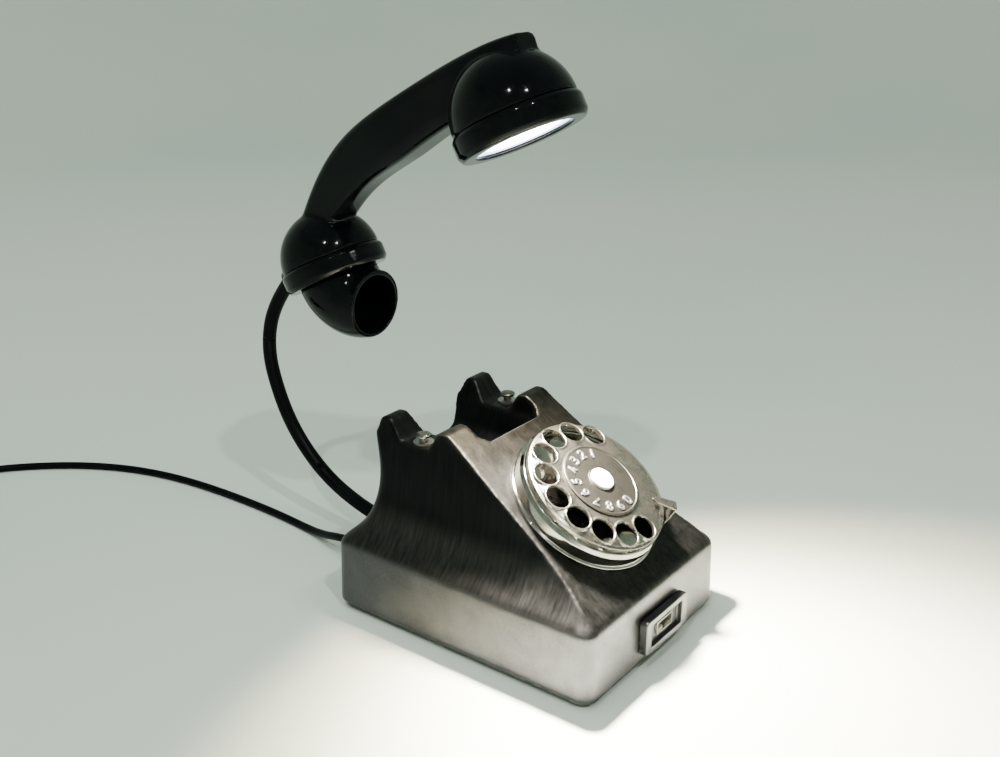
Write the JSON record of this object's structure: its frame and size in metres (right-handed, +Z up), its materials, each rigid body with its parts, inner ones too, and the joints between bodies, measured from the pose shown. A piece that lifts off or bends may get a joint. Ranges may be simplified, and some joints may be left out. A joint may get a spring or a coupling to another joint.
{
  "type": "telephone desk lamp",
  "caption": "Rotary-dial desk telephone converted to a lamp: handset with LED held on a bent arm over the cast base, USB outlet in front, coiled mains lead.",
  "frame": {"origin": "on the floor under the middle of the cast body", "axes": "+Z up, dial and USB socket face -Y, +X to the right seen from the front"},
  "size_m": [0.2443, 0.4801, 0.2931],
  "materials": {
    "cast_metal": "brushed, worn",
    "dark_plate": "satin",
    "steel": "satin",
    "rubber": "matt",
    "nickel": "worn",
    "chrome": "polished",
    "pewter": "worn",
    "cream": "gloss",
    "brass": "satin",
    "black_plastic": "satin",
    "bakelite": "high gloss",
    "white_plastic": "satin",
    "board": "satin",
    "lens": "frosted",
    "led": "lit",
    "fin_aluminium": "satin",
    "cord_black": "satin"
  },
  "bodies": {
    "base": {"body_shell": "cast_metal", "base_plate": "dark_plate", "base_screws": "steel", "rubber_pad": "rubber", "plunger_bush_left": "steel", "plunger_bush_right": "steel", "hook_axle": "steel", "hook_frame": "steel", "hook_switch": "black_plastic", "dial_can": "chrome", "dial_plate": "steel", "face_plate": "chrome", "face_posts": "brass", "mech_bridge": "steel", "mech_pillars": "brass", "spring_barrel": "steel", "governor": "brass", "pulse_contacts": "brass", "finger_stop": "nickel", "usb_bezel": "black_plastic", "usb_shell": "chrome", "usb_tongue": "white_plastic", "usb_board": "board", "board_standoffs": "brass", "led_driver": "black_plastic", "terminal_block": "white_plastic", "cord_clamp": "black_plastic", "cord_gland": "black_plastic", "arm_socket": "black_plastic", "arm_stub": "cord_black", "mains_cord": "cord_black", "cord_coil": "cord_black", "plug_body": "cord_black", "plug_pins": "chrome", "hook_spring": "steel"},
    "left_plunger": {"plunger_left": "nickel"},
    "right_plunger": {"plunger_right": "nickel"},
    "lever": {"hook_lever": "steel"},
    "dial_wheel": {"finger_wheel": "nickel", "wheel_rim": "nickel", "number_disc": "pewter", "hub_cap": "cream", "dial_shaft": "steel", "main_gear": "brass"},
    "pulse_wheel": {"pulse_pinion": "brass", "pulse_cam": "black_plastic"},
    "lower_arm": {"arm_lower": "cord_black"},
    "upper_arm": {"arm_upper": "cord_black"},
    "handset": {"handset_shell": "bakelite", "arm_ferrule": "black_plastic", "mouth_cap": "bakelite", "mouth_horn": "bakelite", "mouth_capsule": "steel", "ear_cap": "bakelite", "led_lens": "lens", "led_board": "white_plastic", "led_chip": "led", "led_reflector": "chrome", "led_heatsink": "fin_aluminium"}
  },
  "joints": [
    {"name": "plunger_left_slide", "type": "slide", "parent": "base", "child": "left_plunger", "axis": [0, 0, -1], "range_m": [0, 0.002], "stiffness_N_per_m": 60, "springref_m": -0.004},
    {"name": "plunger_right_slide", "type": "slide", "parent": "base", "child": "right_plunger", "axis": [0, 0, -1], "range_m": [0, 0.002], "stiffness_N_per_m": 60, "springref_m": -0.004},
    {"name": "hook_lever_turn", "type": "hinge", "parent": "base", "child": "lever", "pos_m": [0, 0.056, 0.0675], "axis": [1, 0, 0], "range_deg": [0, 6.8], "stiffness_Nm_per_rad": 0.12, "springref_deg": -14.32, "deforming": ["hook_spring"]},
    {"name": "dial_turn", "type": "hinge", "parent": "base", "child": "dial_wheel", "pos_m": [0, -0.0427, 0.0822], "axis": [0, 0.5678, -0.8231], "range_deg": [0, 312], "stiffness_Nm_per_rad": 0.004, "springref_deg": -34.38},
    {"name": "pulse_turn", "type": "hinge", "parent": "base", "child": "pulse_wheel", "pos_m": [-0.02067, -0.03981, 0.06476], "axis": [0, 0.5678, -0.8231], "range_deg": [-1248, 0]},
    {"name": "arm_base_bend", "type": "hinge", "parent": "base", "child": "lower_arm", "pos_m": [0, 0.1, 0.0187], "axis": [1, 0, 0], "range_deg": [-12, 8]},
    {"name": "arm_middle_bend", "type": "hinge", "parent": "lower_arm", "child": "upper_arm", "pos_m": [0, 0.1843, 0.086], "axis": [1, 0, 0], "range_deg": [-15, 8]},
    {"name": "handset_tilt", "type": "hinge", "parent": "upper_arm", "child": "handset", "pos_m": [0, 0.1647, 0.1513], "axis": [1, 0, 0], "range_deg": [-15, 8]}
  ],
  "couplings": [
    {"joint": "plunger_right_slide", "follows": "plunger_left_slide", "ratio": 1},
    {"joint": "hook_lever_turn", "follows": "plunger_left_slide", "rad_per_m": 58.468},
    {"joint": "pulse_turn", "follows": "dial_turn", "ratio": -4}
  ]
}
